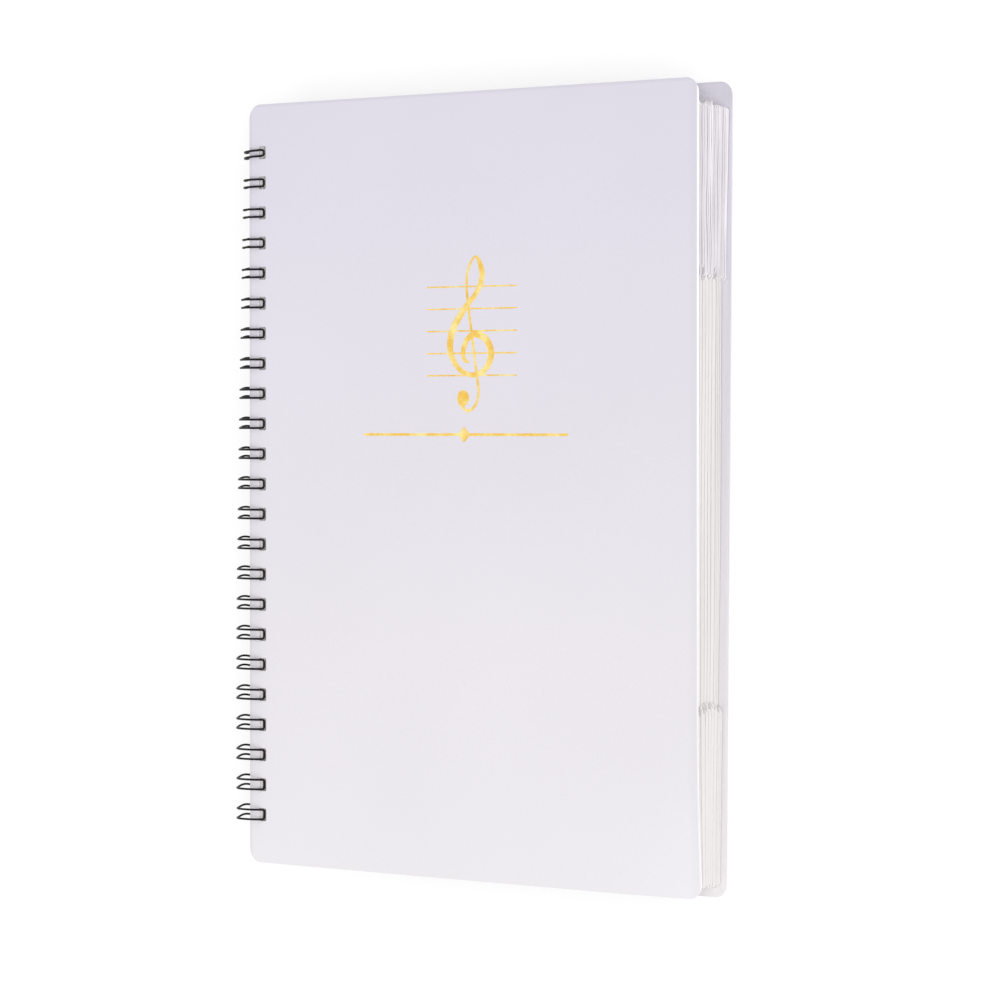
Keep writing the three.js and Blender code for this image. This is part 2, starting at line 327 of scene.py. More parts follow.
def rounded_rectangle(left, low, right, high, radius, steps=8):
    corners = [
        (right - radius, low + radius, -90),
        (right - radius, high - radius, 0),
        (left + radius, high - radius, 90),
        (left + radius, low + radius, 180),
    ]
    points = []
    for x, y, start in corners:
        for step in range(steps + 1):
            angle = math.radians(start + 90 * step / steps)
            points.append((x + radius * math.cos(angle), y + radius * math.sin(angle)))
    return points


def subdivided(loop, spacing):
    """The same closed outline, with no side longer than the spacing."""
    points = []
    for start, end in zip(loop, loop[1:] + loop[:1]):
        steps = max(1, math.ceil(math.dist(start, end) / spacing))
        for step in range(steps):
            share = step / steps
            points.append((lerp(start[0], end[0], share), lerp(start[1], end[1], share)))
    return points


def grid_points(left, right, low, high, spacing, rows):
    """Points over a rectangle, spacing apart across it and in a few rows along it."""
    columns = max(1, round((right - left) / spacing))
    return [
        (lerp(left, right, (column + 0.5) / columns), lerp(low, high, (row + 0.5) / rows))
        for column in range(columns)
        for row in range(rows)
    ]


def inside(points, polygon):
    """Which points lie inside a polygon."""
    px, py = points[:, 0], points[:, 1]
    found = np.zeros(len(points), bool)
    ends = np.array(polygon)
    for (x0, y0), (x1, y1) in zip(ends, np.roll(ends, -1, 0)):
        if y0 == y1:
            continue
        crosses = ((y0 > py) != (y1 > py)) & (px < (x1 - x0) * (py - y0) / (y1 - y0) + x0)
        found ^= crosses
    return found


def flat_triangles(outlines, holes=(), grid=()):
    """Triangles that fill the outlines together, without the holes, through the grid's points."""
    points = []
    edges = []
    for loop in [*outlines, *holes]:
        start = len(points)
        points += loop
        count = len(loop)
        edges += [(start + index, start + (index + 1) % count) for index in range(count)]
    points += list(grid)
    vectors = [Vector(point) for point in points]
    places, _, faces, _, _, _ = delaunay_2d_cdt(vectors, edges, [], 0, 1e-5)
    flat = np.array([(place.x, place.y) for place in places])
    triangles = np.array(faces)
    middles = flat[triangles].mean(1)
    keep = np.zeros(len(triangles), bool)
    for outline in outlines:
        keep |= inside(middles, outline)
    for hole in holes:
        keep &= ~inside(middles, hole)
    used, index = np.unique(triangles[keep], return_inverse=True)
    return flat[used], index.reshape(-1, 3)


def sheet_mesh(flat, triangles, low, high):
    """Closed sheet between two heights over a flat mesh."""
    count = len(flat)
    x, y = flat[:, 0], flat[:, 1]
    below = np.column_stack([x, y, low(x, y)])
    above = np.column_stack([x, y, high(x, y)])
    edges = np.concatenate([triangles[:, [0, 1]], triangles[:, [1, 2]], triangles[:, [2, 0]]])
    known = {tuple(edge) for edge in edges.tolist()}
    rim = [edge for edge in edges.tolist() if (edge[1], edge[0]) not in known]
    faces = (triangles + count).tolist() + triangles[:, ::-1].tolist()
    faces += [[a, b, b + count, a + count] for a, b in rim]
    return np.concatenate([below, above]), faces


def new_object(name, parts, body, material, replaced=(), smooth_angle=35):
    """One object of several meshes, each given as its points in millimetres and its faces."""
    points = []
    faces = []
    start = 0
    for part_points, part_faces in parts:
        points.append(np.asarray(part_points, float))
        faces += [[start + corner for corner in face] for face in part_faces]
        start += len(part_points)
    mesh = bpy.data.meshes.new(name)
    mesh.from_pydata((np.concatenate(points) * MM).tolist(), [], faces)
    mesh.update()
    mesh.materials.append(material)
    piece = bpy.data.objects.new(name, mesh)
    scene.collection.objects.link(piece)
    mesh.polygons.foreach_set("use_smooth", [True] * len(mesh.polygons))
    mesh.set_sharp_from_angle(angle=math.radians(smooth_angle))
    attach(piece, body)
    if replaced:
        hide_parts(*replaced)
    return piece


def round_edges(piece):
    bevel = piece.modifiers.new("edge", "BEVEL")
    bevel.width = EDGE_ROUND * MM
    bevel.segments = EDGE_SEGMENTS
    bevel.limit_method = "ANGLE"
    bevel.angle_limit = math.radians(EDGE_ANGLE)
    bevel.harden_normals = True


# Materials

# Where the covers are painted: shade along the spine and head edges and in a band inside the
# fore-edge, and a rim along the fore-edge; in millimetres inwards from each edge: start and end
SPINE_PAINTED_SHADE = (0.8, 1.8)
HEAD_PAINTED_SHADE = (1.6, 0.6)
FORE_PAINTED_SHADE = (5, 2)
PAINTED_RIM_BAND = (0.7, 0.3)

# Film: where the milky edge starts and is full, inwards from the fore-edge of the widest white
# sheet, and where its painted highlight streaks start and are full, from the folder's middle
# towards the head
MILKY_EDGE = (3, 1)
PAINTED_STREAKS = (40, 80)
# Tints of the milky film: in the head strip, in its streaks of painted highlight, and in the tail
# strip, painted lighter and plain
MILK_TINT = (0.695, 0.67, 0.7)
STREAK_HIGHLIGHT_TINT = (0.84, 0.82, 0.85)
PLAIN_MILK_TINT = (0.74, 0.715, 0.71)


class Nodes:
    """Short way to write a material's nodes."""

    def __init__(self, name):
        self.material = bpy.data.materials.new(name)
        self.material.use_nodes = True
        self.tree = self.material.node_tree
        self.shader = self.tree.nodes["Principled BSDF"]
        self.position = self.add("ShaderNodeTexCoord").outputs["Object"]

    def add(self, kind, **values):
        node = self.tree.nodes.new(kind)
        for key, value in values.items():
            if key in node.inputs:
                node.inputs[key].default_value = value
            else:
                setattr(node, key, value)
        return node

    def link(self, output, target):
        self.tree.links.new(output, target)

    def noise(self, scale, detail=3, roughness=0.5, stretch=(1, 1, 1)):
        """Noise in cycles per metre, with each axis stretched by its own factor."""
        place = self.add("ShaderNodeMapping")
        place.inputs["Scale"].default_value = stretch
        self.link(self.position, place.inputs["Vector"])
        node = self.add("ShaderNodeTexNoise", Scale=scale, Detail=detail, Roughness=roughness)
        self.link(place.outputs["Vector"], node.inputs["Vector"])
        return node.outputs["Fac"]

    def ramp(self, factor, *stops):
        node = self.add("ShaderNodeValToRGB")
        elements = node.color_ramp.elements
        while len(elements) < len(stops):
            elements.new(0.5)
        for element, (place, color) in zip(elements, stops):
            element.position = place
            element.color = (*color, 1)
        self.link(factor, node.inputs["Fac"])
        return node.outputs["Color"]

    def mapped(self, value, low, high, new_low, new_high):
        node = self.add("ShaderNodeMapRange")
        node.inputs["From Min"].default_value = low
        node.inputs["From Max"].default_value = high
        node.inputs["To Min"].default_value = new_low
        node.inputs["To Max"].default_value = new_high
        self.link(value, node.inputs["Value"])
        return node.outputs["Result"]

    def math(self, operation, a, b):
        node = self.add("ShaderNodeMath", operation=operation)
        self.link(a, node.inputs[0])
        if isinstance(b, bpy.types.NodeSocket):
            self.link(b, node.inputs[1])
        else:
            node.inputs[1].default_value = b
        return node.outputs["Value"]

    def mix(self, factor, a, b, blend="MIX"):
        node = self.add("ShaderNodeMix", data_type="RGBA", blend_type=blend)
        sockets = [node.inputs[index] for index in (0, 6, 7)]
        for socket, value in zip(sockets, (factor, a, b)):
            if isinstance(value, bpy.types.NodeSocket):
                self.link(value, socket)
            else:
                socket.default_value = value if socket.type == "VALUE" else (*value, 1)
        return node.outputs[2]

    def axis(self, name):
        """One coordinate of the place on the folder, in metres."""
        node = self.add("ShaderNodeSeparateXYZ")
        self.link(self.position, node.inputs["Vector"])
        return node.outputs[name]

    def bump(self, height, strength, distance):
        node = self.add("ShaderNodeBump", Strength=strength, Distance=distance)
        self.link(height, node.inputs["Height"])
        self.link(node.outputs["Normal"], self.shader.inputs["Normal"])


def cover_plastic(name, tints_with_painted_light, painted_rims):
    """Frosted sheet with a fine grain, whose tints at the tail, the middle and the head carry painted
    light, lighter towards the tail.

    Painted shade greys it along its spine and head edges and in a band inside the fore-edge, and
    the painted rims are its tints along the fore-edge at the tail and at the head: a painted
    highlight on the front cover, and painted shade towards the head on the back.
    """
    nodes = Nodes(name)
    # Painted light along the page: the tints grow lighter towards the tail
    up_page = nodes.mapped(nodes.axis("Y"), TAIL_Y * MM, HEAD_Y * MM, 0, 1)
    tint = nodes.ramp(up_page, *zip((0, 0.5, 1), tints_with_painted_light))
    cloud = nodes.mapped(nodes.noise(9, 4), 0.3, 0.7, 0.985, 1.015)
    speck = nodes.mapped(nodes.noise(1500, 2), 0.35, 0.7, 1.0, 0.97)
    shade = nodes.mix(1.0, tint, cloud, "MULTIPLY")
    shade = nodes.mix(1.0, shade, speck, "MULTIPLY")
    # Painted shade along the spine and head edges
    low, high = [(SPINE_X + inset) * MM for inset in SPINE_PAINTED_SHADE]
    spine = nodes.mapped(nodes.axis("X"), low, high, 0.93, 1)
    low, high = [(HEAD_Y - inset) * MM for inset in HEAD_PAINTED_SHADE]
    head = nodes.mapped(nodes.axis("Y"), low, high, 1, 0.93)
    shade = nodes.mix(1.0, shade, nodes.math("MULTIPLY", spine, head), "MULTIPLY")
    # Painted shade in a band inside the fore-edge
    low, high = [(FORE_X - inset) * MM for inset in FORE_PAINTED_SHADE]
    painted_fore_shade = nodes.mapped(nodes.axis("X"), low, high, 1, 0.965)
    shade = nodes.mix(1.0, shade, painted_fore_shade, "MULTIPLY")
    # Painted rim along the fore-edge: a painted highlight on the front cover, and painted shade
    # towards the head on the back
    low, high = [(FORE_X - inset) * MM for inset in PAINTED_RIM_BAND]
    fore = nodes.mapped(nodes.axis("X"), low, high, 0, 1)
    shade = nodes.mix(fore, shade, nodes.ramp(up_page, *zip((0.2, 0.75), painted_rims)))
    nodes.link(shade, nodes.shader.inputs["Base Color"])
    gloss = nodes.mapped(nodes.noise(400, 3), 0.3, 0.7, 0.38, 0.5)
    nodes.link(gloss, nodes.shader.inputs["Roughness"])
    nodes.shader.inputs["IOR"].default_value = 1.49
    nodes.shader.inputs["Specular IOR Level"].default_value = 0.35
    nodes.bump(nodes.noise(2600, 2, 0.6), 0.12, 0.00005)
    return nodes.material


def leaf_white():
    """White sheet inside a pocket, faintly warm, each one a little different at its edge."""
    nodes = Nodes("leaf_white")
    leaf = nodes.noise(1, 2, 0.5, (0, 10, 1200))
    tint = nodes.ramp(leaf, (0.35, (0.73, 0.705, 0.695)), (0.6, (0.755, 0.73, 0.72)))
    nodes.link(tint, nodes.shader.inputs["Base Color"])
    gloss = nodes.mapped(nodes.noise(300), 0.3, 0.7, 0.5, 0.62)
    nodes.link(gloss, nodes.shader.inputs["Roughness"])
    nodes.bump(nodes.noise(900, 3), 0.1, 0.00005)
    return nodes.material


def pocket_film():
    """Glossy film, clear past the sheet's head and milky along the fore-edge.

    The milky part has long streaks of painted highlight in the head strip, and is painted lighter
    and plain in the tail strip. The ends of the strips, towards the head and the tail, are painted
    white as a highlight.
    """
    nodes = Nodes("pocket_film")
    weld = FORE_X - LEAF_FORE_INSET - SHEET_FORE_INSET
    low, high = [(weld - inset) * MM for inset in MILKY_EDGE]
    edge = nodes.mapped(nodes.axis("X"), low, high, 0, 1)
    low, high = [place * MM for place in PAINTED_STREAKS]
    at_head = nodes.mapped(nodes.axis("Y"), low, high, 0, 1)
    sheet_head = HEAD_Y - LEAF_HEAD_INSET - SHEET_HEAD_INSET
    bare = nodes.mapped(nodes.axis("Y"), sheet_head * MM, (sheet_head + 1) * MM, 0, 1)
    # Painted highlight: bright streaks that follow each leaf, in the head strip only
    highlight_streak = nodes.mapped(nodes.noise(1, 2, 0.5, (0, 11, 480)), 0.57, 0.65, 0, 1)
    milk = nodes.mix(nodes.math("MULTIPLY", highlight_streak, at_head), MILK_TINT, STREAK_HIGHLIGHT_TINT)
    # Towards the tail the film is painted lighter and plain
    plain = nodes.mix(at_head, PLAIN_MILK_TINT, milk)
    # Painted highlight: the strip ends, which face the head or the tail, are painted white and opaque
    normal = nodes.add("ShaderNodeSeparateXYZ")
    face = nodes.add("ShaderNodeNewGeometry")
    nodes.link(face.outputs["True Normal"], normal.inputs["Vector"])
    painted_end_highlight = nodes.math("MULTIPLY", normal.outputs["Y"], normal.outputs["Y"])
    nodes.link(nodes.mix(painted_end_highlight, plain, (1, 1, 1)), nodes.shader.inputs["Base Color"])
    haze = nodes.mapped(nodes.noise(60, 4), 0.3, 0.7, 0.12, 0.24)
    cloudy = nodes.mapped(bare, 0, 1, 1, 0.12)
    alpha = nodes.mix(edge, haze, cloudy)
    nodes.link(nodes.math("MAXIMUM", alpha, painted_end_highlight), nodes.shader.inputs["Alpha"])
    gloss = nodes.mapped(nodes.noise(200), 0.3, 0.7, 0.12, 0.26)
    nodes.link(gloss, nodes.shader.inputs["Roughness"])
    nodes.shader.inputs["IOR"].default_value = 1.5
    nodes.shader.inputs["Specular IOR Level"].default_value = 0.5
    nodes.bump(nodes.noise(1, 2, 0.5, (20, 20, 500)), 0.15, 0.0002)
    return nodes.material


def black_wire():
    """Nylon-coated steel: near black, satin, with a slightly uneven coat."""
    nodes = Nodes("black_wire")
    tint = nodes.ramp(
        nodes.noise(700, 4), (0.3, (0.004, 0.003, 0.005)), (0.75, (0.009, 0.007, 0.010))
    )
    nodes.link(tint, nodes.shader.inputs["Base Color"])
    gloss = nodes.mapped(nodes.noise(1200), 0.3, 0.7, 0.34, 0.48)
    nodes.link(gloss, nodes.shader.inputs["Roughness"])
    nodes.shader.inputs["Specular IOR Level"].default_value = 0.12
    nodes.bump(nodes.noise(1600, 2), 0.15, 0.00005)
    return nodes.material


def gold_foil():
    """Stamped foil: bright gold with fine crumpled facets, each lighter in its middle as a painted
    glint.
    """
    nodes = Nodes("gold_foil")
    patch = nodes.ramp(
        nodes.noise(150, 4, 0.6),
        (0.32, (0.88, 0.54, 0.09)),
        (0.48, (0.95, 0.68, 0.19)),
        (0.62, (0.98, 0.83, 0.36)),
    )
    # Painted glint: each facet's colour is lighter in its middle
    cells = nodes.add("ShaderNodeTexVoronoi", Scale=1500)
    nodes.link(nodes.position, cells.inputs["Vector"])
    painted_glint = nodes.ramp(cells.outputs["Distance"], (0.15, (1, 1, 1)), (0.75, (0.84, 0.78, 0.66)))
    nodes.link(nodes.mix(0.5, patch, painted_glint, "MULTIPLY"), nodes.shader.inputs["Base Color"])
    nodes.shader.inputs["Metallic"].default_value = 1
    gloss = nodes.mapped(nodes.noise(500), 0.3, 0.7, 0.3, 0.5)
    nodes.link(gloss, nodes.shader.inputs["Roughness"])
    nodes.bump(cells.outputs["Distance"], 0.25, 0.0001)
    return nodes.material


# Covers

# Tints at the tail, the middle and the head: the lavender plastic with painted light, lighter towards
# the tail. The back cover's are painted lighter than the front's, against the shade that the stack of
# leaves casts beside it.
FRONT_TINTS_WITH_PAINTED_LIGHT = [(0.84, 0.815, 0.85), (0.79, 0.76, 0.82), (0.735, 0.71, 0.805)]
FRONT_PAINTED_RIMS = [(0.87, 0.845, 0.88), (0.98, 0.97, 1)]
BACK_TINTS_WITH_PAINTED_LIGHT = [(0.9, 0.87, 0.88), (0.79, 0.76, 0.8), (0.77, 0.74, 0.83)]
BACK_PAINTED_RIMS = [(0.85, 0.83, 0.85), (0.72, 0.69, 0.76)]


def hole_loops():
    left = SPINE_X + HOLE_MARGIN
    half = HOLE_WIDTH / 2
    return [
        rounded_rectangle(left, y - half, left + HOLE_LENGTH, y + half, HOLE_CORNER, 4)
        for y in LOOP_YS
    ]


def make_covers():
    outline = rounded_rectangle(SPINE_X, TAIL_Y, FORE_X, HEAD_Y, COVER_CORNER, 12)
    margin = SPINE_X + HOLE_MARGIN + HOLE_LENGTH + 1
    inset = COVER_GRID_INSET
    grid = grid_points(
        margin, FORE_X - inset, TAIL_Y + inset, HEAD_Y - inset, COVER_GRID, COVER_GRID_ROWS
    )
    flat, triangles = flat_triangles([subdivided(outline, COVER_GRID)], hole_loops(), grid)
    half = COVER_THICKNESS / 2
    front = sheet_mesh(
        flat,
        triangles,
        lambda x, y: front_middle(x, y) - half,
        lambda x, y: front_middle(x, y) + half,
    )
    back = sheet_mesh(
        np.column_stack(on_back(flat[:, 0], flat[:, 1])),
        triangles,
        back_underside,
        lambda x, y: back_underside(x, y) + COVER_THICKNESS,
    )
    for name, part, tints_with_painted_light, painted_rims in (
        ("front", front, FRONT_TINTS_WITH_PAINTED_LIGHT, FRONT_PAINTED_RIMS),
        ("back", back, BACK_TINTS_WITH_PAINTED_LIGHT, BACK_PAINTED_RIMS),
    ):
        plastic = cover_plastic(f"{name}_plastic", tints_with_painted_light, painted_rims)
        node = f"{name}_cover"
        round_edges(new_object(f"{node}_sheet", [part], name, plastic, [node]))


# Wire


def ring_press(y):
    """How far the loop is pressed towards the fore-edge, behind the spine."""
    share = along_spine(y)
    if share < PRESS_TURN:
        return PRESS_TAIL * (1 - share / PRESS_TURN) ** 2 - PRESS_OUT
    return PRESS_HEAD * ((share - PRESS_TURN) / (1 - PRESS_TURN)) ** 2 - PRESS_OUT


def on_loop(angle, y, side):
    """Point of the wire's centre line beside the middle of a hole, 0 degrees to the fore-edge."""
    turn = math.radians(angle)
    behind = max(0, -math.cos(turn)) ** 2
    x = RING_RADIUS * math.cos(turn) + ring_press(y) * behind
    lean = head_only(y) * (HEAD_LEAN * (x - seat_run(y)) - HEAD_SLIP)
    low_back = np.clip((angle % 360 - BEHIND_START) / (BEHIND_END - BEHIND_START), 0, 1)
    lean += BEHIND_LEAN * math.sin(math.pi * low_back) ** 2
    return Vector((ring_x(y + side) + x, y + side + lean, RING_Z + RING_RADIUS * math.sin(turn)))


def tip_angle(y):
    return math.degrees(math.acos(seat_run(y) / RING_RADIUS)) - TIP_DROP


def wire_points():
    """One hairpin after another, joined by bars under the front cover."""
    bend_angle = math.degrees(WIRE_BEND / RING_RADIUS)
    points = []

    def bend(y, angle, side, turn_way, along_way, outwards):
        """Quarter bend between a loop and a bar."""
        steps = range(BEND_STEPS + 1)
        for step in steps if outwards else reversed(steps):
            quarter = math.pi / 2 * step / BEND_STEPS
            up = turn_way * bend_angle * (1 - math.sin(quarter))
            over = along_way * WIRE_BEND * (1 - math.cos(quarter))
            points.append(on_loop(angle + up, y, side + over))

    for loop, y in enumerate(LOOP_YS):
        spacing = lerp(TWIN_SPACING_TAIL, TWIN_SPACING_HEAD, along_spine(y))
        half = (spacing - TWIN_PINCH * head_only(y)) / 2
        base, tip = tip_angle(y) - SEAM_GAP, tip_angle(y) - 360
        down = np.linspace(base - bend_angle, tip + bend_angle, LOOP_STEPS)
        if loop > 0:
            bend(y, base, -half, -1, -1, False)
        points += [on_loop(angle, y, -half) for angle in down[1:-1]]
        bend(y, tip, -half, 1, 1, True)
        bend(y, tip, half, 1, -1, False)
        points += [on_loop(angle, y, half) for angle in down[::-1][1:-1]]
        if loop < HOLE_COUNT - 1:
            bend(y, base, half, -1, 1, True)
    return points


def tube(points, radius, sides):
    """Closed round tube along a line of points, turned as little as it can be."""
    count = len(points)
    tangents = [
        (points[min(index + 1, count - 1)] - points[max(index - 1, 0)]).normalized()
        for index in range(count)
    ]
    side = tangents[0].orthogonal().normalized()
    rings = []
    for point, tangent in zip(points, tangents):
        side = (side - tangent * side.dot(tangent)).normalized()
        other = tangent.cross(side)
        for step in range(sides):
            angle = 2 * math.pi * step / sides
            rings.append(point + radius * (side * math.cos(angle) + other * math.sin(angle)))
    faces = []
    for index in range(count - 1):
        for step in range(sides):
            a = index * sides + step
            b = index * sides + (step + 1) % sides
            faces.append([a, b, b + sides, a + sides])
    faces.append(list(range(sides))[::-1])
    faces.append([(count - 1) * sides + step for step in range(sides)])
    return rings, faces


def make_wire(material):
    part = tube(wire_points(), WIRE_DIAMETER / 2, WIRE_SIDES)
    new_object(
        "twin_loop_wire",
        [part],
        "pages_and_wire",
        material,
        ["binding_wire"],
        WIRE_SMOOTH_ANGLE,
    )


# Pocket leaves


def sine_wave(y, share, height, radian, turn, start):
    return height * np.sin(y / radian + turn * share + start)


def leaf_wave(x, y, share):
    """Height of a leaf over its even place in the stack, where the leaves bunch at the fore-edge.

    The waves are long and low, and shorter in the head strip. Neighbours move nearly together.
    """
    quick = sum(sine_wave(y, share, *wave) for wave in QUICK_WAVES)
    wave = sine_wave(y, share, *SLOW_WAVE) + smoothstep(y, QUICK_START_Y, QUICK_FULL_Y) * quick
    return 4 * share * (1 - share) * smoothstep(x, WAVES_START_X, FORE_X) * wave


def leaf_holes(share):
    """Holes for the wire through the leaf at a share of the stack's height."""
    half = HOLE_WIDTH / 2
    holes = []
    for y in LOOP_YS:
        rise = lerp(-back_rise(y), cover_rise(y), share)
        x = ring_x(y) + math.sqrt(RING_RADIUS**2 - rise**2)
        left, right = x - LEAF_HOLE_LEFT, x + LEAF_HOLE_RIGHT
        holes.append(rounded_rectangle(left, y - half, right, y + half, HOLE_CORNER, 3))
    return holes


def leaf_outline(share, tail, head, fore):
    """Outline of a white sheet, whose spine edge follows the wire."""
    middle = leaf_spine_x(share, 0)
    loop = rounded_rectangle(middle, tail, fore, head, LEAF_CORNER, 5)
    loop = subdivided(loop, SHEET_EDGE_STEP)
    return [(x + (leaf_spine_x(share, y) - middle if x < 0 else 0), y) for x, y in loop]


def make_leaves(white, film):
    rng = random.Random(LEAF_SEED)
    sheets = []
    films = []
    margin = ring_x(0) + RING_RADIUS + LEAF_MARGIN
    for index in range(LEAF_COUNT):
        share = (index + 0.5) / LEAF_COUNT
        fore = FORE_X - LEAF_FORE_INSET - rng.uniform(0, FORE_SCATTER)
        tail = TAIL_Y + LEAF_TAIL_INSET - rng.uniform(0, TAIL_SCATTER)

        def height(x, y, share=share):
            return stack_height(x, y, share) + leaf_wave(x, y, share)

        def shifted(flat, share=share):
            """The lower leaves lie further out, as the back cover does, most of all at the head."""
            x, y = flat[:, 0], flat[:, 1]
            flare = LEAF_SHIFT * smoothstep(y, TAIL_Y, 0)
            flare += LEAF_FLARE * smoothstep(y, FLARE_START, HEAD_Y)
            return np.column_stack([x + smoothstep(x, 0, FORE_X) * (1 - share) * flare, y])

        sheet_fore = fore - SHEET_FORE_INSET
        head_inset = lerp(SHEET_HEAD_INSET + SHEET_HEAD_STEP, SHEET_HEAD_INSET, share)
        sheet_head = HEAD_Y - LEAF_HEAD_INSET - head_inset
        sheet_head += rng.uniform(-SHEET_HEAD_SCATTER, SHEET_HEAD_SCATTER)
        head = sheet_head + FILM_PAST_SHEET
        if index in LONG_FILMS:
            head = HEAD_Y - LEAF_HEAD_INSET + rng.uniform(0, LONG_FILM_SCATTER)
        tail_strip_end = tail + FILM_STRIP + rng.uniform(-TAIL_STRIP_SCATTER, TAIL_STRIP_SCATTER)
        head_strip_start = HEAD_Y - LEAF_HEAD_INSET - FILM_STRIP
        head_strip_start += rng.uniform(-HEAD_STRIP_SCATTER, HEAD_STRIP_SCATTER)
        outline = leaf_outline(share, tail, sheet_head, sheet_fore)
        grid = grid_points(
            margin,
            sheet_fore - SHEET_GRID_INSET_X,
            tail + SHEET_GRID_INSET_Y,
            sheet_head - SHEET_GRID_INSET_Y,
            SHEET_GRID,
            SHEET_GRID_ROWS,
        )
        flat, triangles = flat_triangles([outline], leaf_holes(share), grid)
        half = LEAF_SHEET / 2
        sheets.append(
            sheet_mesh(
                shifted(flat),
                triangles,
                lambda x, y: height(x, y) - half,
                lambda x, y: height(x, y) + half,
            )
        )
        for low, high in ((tail, tail_strip_end), (head_strip_start, head)):
            strip = rounded_rectangle(margin, low, fore, high, FILM_CORNER, 3)
            strip = subdivided(strip, FILM_EDGE_STEP)
            inset = FILM_GRID_INSET
            grid = grid_points(
                margin, fore - inset, low + inset, high - inset, FILM_GRID, FILM_GRID_ROWS
            )
            flat, triangles = flat_triangles([strip], (), grid)

            def lift(x, y, fore=fore + (1 - share) * LEAF_SHIFT, bare=sheet_head + BARE_FILM_START):
                """How far each face of the film lies from the leaf's middle."""
                lifted = lerp(FILM_LIFT, FILM_WELD, smoothstep(x, fore - FILM_WELD_WIDTH, fore))
                return lerp(lifted, BARE_FILM_LIFT, smoothstep(y, bare, bare + BARE_FILM_RUN))

            films.append(
                sheet_mesh(
                    shifted(flat),
                    triangles,
                    lambda x, y: height(x, y) - lift(x, y),
                    lambda x, y: height(x, y) + lift(x, y),
                )
            )
    new_object("pocket_leaves", sheets, "pages_and_wire", white, ["pocket_pages"])
    new_object("pocket_films", films, "pages_and_wire", film, ["pocket_pages"])


# Gold foil

# The clef's stroke in staff gaps from the line that the clef marks: the places of its middle and
# its width there, from the curl inside the bowl to the dot
CLEF_PATH = [
    (-0.16, -0.42, 0.1), (-0.42, -0.28, 0.2), (-0.5, 0.1, 0.26), (-0.26, 0.6, 0.28),
    (0.22, 0.86, 0.3), (0.85, 0.62, 0.34), (1.16, -0.02, 0.36), (0.85, -0.68, 0.3),
    (0.12, -0.98, 0.22), (-0.72, -0.72, 0.24), (-1.26, 0.08, 0.34), (-1.12, 1.05, 0.38),
    (-0.42, 2, 0.3), (0.28, 2.7, 0.26), (0.62, 3.4, 0.32), (0.5, 4.02, 0.26),
    (0.22, 4.34, 0.1), (-0.14, 3.92, 0.14), (-0.3, 3.2, 0.14), (-0.22, 2.3, 0.14),
    (0.04, 0.7, 0.14), (0.32, -1.05, 0.14), (0.42, -1.75, 0.14), (0.22, -2.34, 0.14),
    (-0.26, -2.6, 0.14), (-0.72, -2.2, 0.2),
]
CLEF_DOT = (-0.5, -2.02, 0.36)
CLEF_STEPS = 10
CLEF_RUN = 5
STAFF_LINES = (-1, 0, 1, 2, 3)


def curve_through(points, steps):
    """Smooth line through the points, in a number of steps from each to the next."""
    known = np.array(points)
    ends = np.vstack([2 * known[0] - known[1], known, 2 * known[-1] - known[-2]])
    line = []
    for a, b, c, d in zip(ends, ends[1:], ends[2:], ends[3:]):
        for share in np.arange(steps) / steps:
            bend = (2 * a - 5 * b + 4 * c - d) * share**2 + (3 * b - a - 3 * c + d) * share**3
            line.append(b + 0.5 * ((c - a) * share + bend))
    return np.array([*line, known[-1]])


def stroke_outline(line):
    """Outline of a stroke, whose third number at each point is its width."""
    along = np.gradient(line[:, :2], axis=0)
    across = np.column_stack([-along[:, 1], along[:, 0]])
    across *= (line[:, 2] / 2 / np.linalg.norm(across, axis=1))[:, None]
    return [*(line[:, :2] + across), *(line[:, :2] - across)[::-1]]


def roughened(outline, rng):
    """Outline with the slightly ragged edge of stamped foil."""
    spread = FOIL_ROUGHNESS
    return [
        (x + rng.uniform(-spread, spread), y + rng.uniform(-spread, spread))
        for x, y in subdivided([tuple(point) for point in outline], FOIL_EDGE_STEP)
    ]


def clef_outlines():
    """Strokes short enough not to cross themselves, the dot and the staff's lines."""
    line = curve_through(CLEF_PATH, CLEF_STEPS)
    run = CLEF_RUN * CLEF_STEPS
    starts = range(0, len(line) - 1, run)
    outlines = [stroke_outline(line[start : start + run + 1]) for start in starts]
    x, y, radius = CLEF_DOT
    outlines.append(rounded_rectangle(x - radius, y - radius, x + radius, y + radius, radius))
    placed = [
        [(CLEF_X + x * STAFF_GAP, CLEF_LINE_Y + y * STAFF_GAP) for x, y in outline]
        for outline in outlines
    ]
    for step in STAFF_LINES:
        middle = CLEF_LINE_Y + step * STAFF_GAP
        left, right = CLEF_X - STAFF_WIDTH / 2, CLEF_X + STAFF_WIDTH / 2
        low, high = middle - STAFF_STROKE / 2, middle + STAFF_STROKE / 2
        placed.append([(left, low), (right, low), (right, high), (left, high)])
    return placed


def divider_outline():
    half = DIVIDER_WIDTH / 2
    line = DIVIDER_STROKE / 2
    diamond = DIVIDER_DIAMOND / 2
    quarter = [(half, 0), (half - line, line), (diamond - line, line), (0, diamond)]
    upper = quarter + [(-x, y) for x, y in quarter[-2::-1]]
    outline = upper + [(x, -y) for x, y in upper[-2:0:-1]]
    return [(x, DIVIDER_Y + y) for x, y in outline]


def make_foil(material):
    rng = random.Random(FOIL_SEED)
    for node, outlines in (("foil_clef", clef_outlines()), ("foil_divider", [divider_outline()])):
        flat, triangles = flat_triangles([roughened(outline, rng) for outline in outlines])
        base = COVER_THICKNESS / 2 + FOIL_GAP
        part = sheet_mesh(
            flat,
            triangles,
            lambda x, y: front_middle(x, y) + base,
            lambda x, y: front_middle(x, y) + base + FOIL_THICKNESS,
        )
        new_object(f"{node}_stamping", [part], "front", material, [node])


# Stage

WORLD_LIGHT = 0.62
FLOOR_TONE = 0.8
FLOOR_SEEN_TONE = 0.35
FLOOR_SEEN_GLOW = 0.7

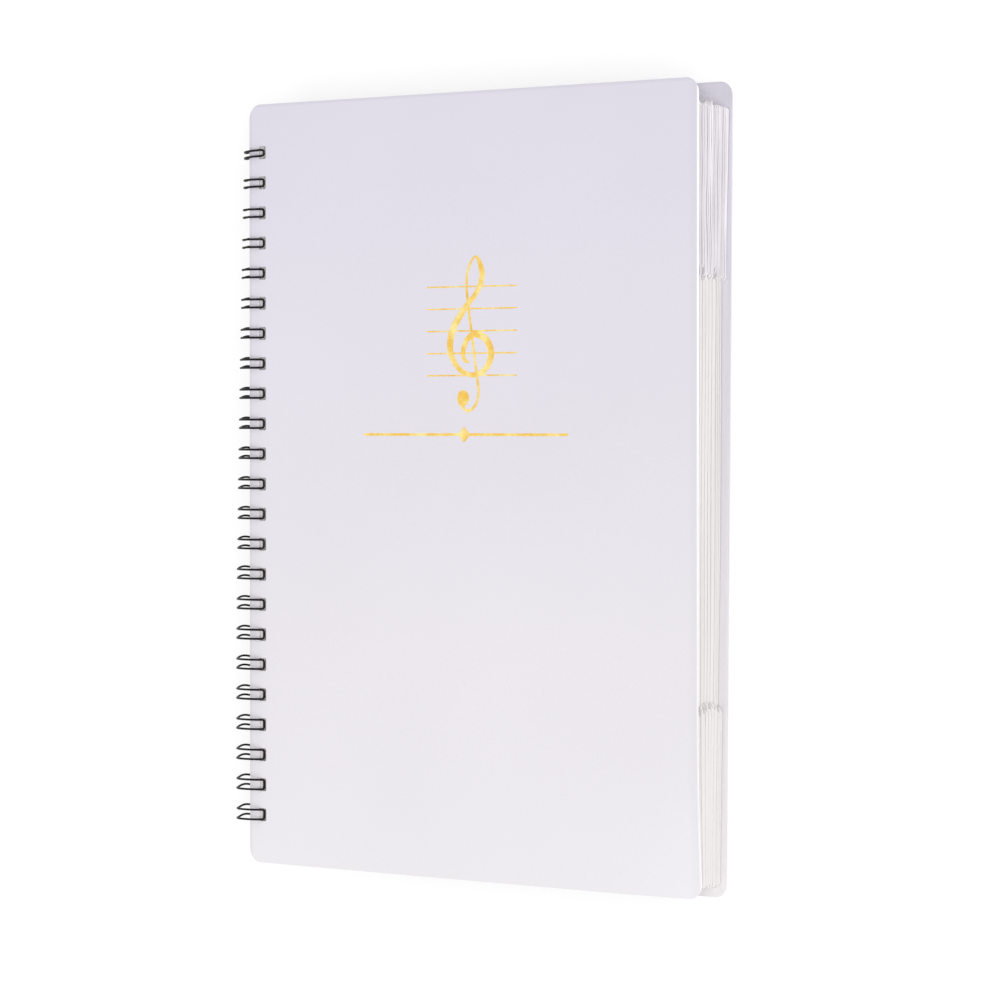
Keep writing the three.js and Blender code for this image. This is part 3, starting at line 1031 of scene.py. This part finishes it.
# Sizes and places of the stage, in metres
FLOOR_REACH = 4
KEY_SIZE = 1.4
KEY_POWER = 5
KEY_PLACE = (-0.6, -1.1, 1.7)
FILL_ANGLE = 50
FILL_STRENGTH = 1.8
FILL_PLACE = (1.6, -0.3, 1.1)


def seen_directly(tree):
    """1 for the rays that show a surface to the camera, also in a mirror or through glass."""
    path = tree.nodes.new("ShaderNodeLightPath")
    total = path.outputs["Is Camera Ray"]
    for name in ("Is Glossy Ray", "Is Transmission Ray"):
        join = tree.nodes.new("ShaderNodeMath")
        join.operation = "MAXIMUM"
        tree.links.new(total, join.inputs[0])
        tree.links.new(path.outputs[name], join.inputs[1])
        total = join.outputs["Value"]
    return total


def make_floor():
    mesh = bpy.data.meshes.new("floor")
    corners = [(x * FLOOR_REACH, y * FLOOR_REACH, 0) for x, y in ((-1, -1), (1, -1), (1, 1), (-1, 1))]
    mesh.from_pydata(corners, [], [(0, 1, 2, 3)])
    floor = bpy.data.objects.new("floor", mesh)
    scene.collection.objects.link(floor)
    nodes = Nodes("floor")
    seen = seen_directly(nodes.tree)
    tone = nodes.mix(seen, [FLOOR_TONE] * 3, [FLOOR_SEEN_TONE] * 3)
    nodes.link(tone, nodes.shader.inputs["Base Color"])
    nodes.shader.inputs["Roughness"].default_value = 1
    nodes.shader.inputs["Specular IOR Level"].default_value = 0
    nodes.shader.inputs["Emission Color"].default_value = (1, 1, 1, 1)
    nodes.link(
        nodes.math("MULTIPLY", seen, FLOOR_SEEN_GLOW), nodes.shader.inputs["Emission Strength"]
    )
    mesh.materials.append(nodes.material)


def add_lamp(data, place):
    """Lamp at a place, aimed at the folder."""
    lamp = bpy.data.objects.new(data.name, data)
    lamp.location = place
    lamp.rotation_euler = (-Vector(place)).to_track_quat("-Z", "Y").to_euler()
    scene.collection.objects.link(lamp)


def make_lights():
    world = bpy.data.worlds.new("world")
    scene.world = world
    world.use_nodes = True
    tree = world.node_tree
    background = tree.nodes["Background"]
    background.inputs["Color"].default_value = (1, 1, 1, 1)
    strength = tree.nodes.new("ShaderNodeMapRange")
    strength.inputs["To Min"].default_value = WORLD_LIGHT
    strength.inputs["To Max"].default_value = 1
    tree.links.new(seen_directly(tree), strength.inputs["Value"])
    tree.links.new(strength.outputs["Result"], background.inputs["Strength"])
    key = bpy.data.lights.new("key", "AREA")
    key.size = KEY_SIZE
    key.energy = KEY_POWER
    add_lamp(key, KEY_PLACE)
    fill = bpy.data.lights.new("fill", "SUN")
    fill.angle = math.radians(FILL_ANGLE)
    fill.energy = FILL_STRENGTH
    add_lamp(fill, FILL_PLACE)


make_camera()
make_floor()
make_lights()
make_covers()
make_wire(black_wire())
make_leaves(leaf_white(), pocket_film())
make_foil(gold_foil())

scene.view_settings.view_transform = "Standard"
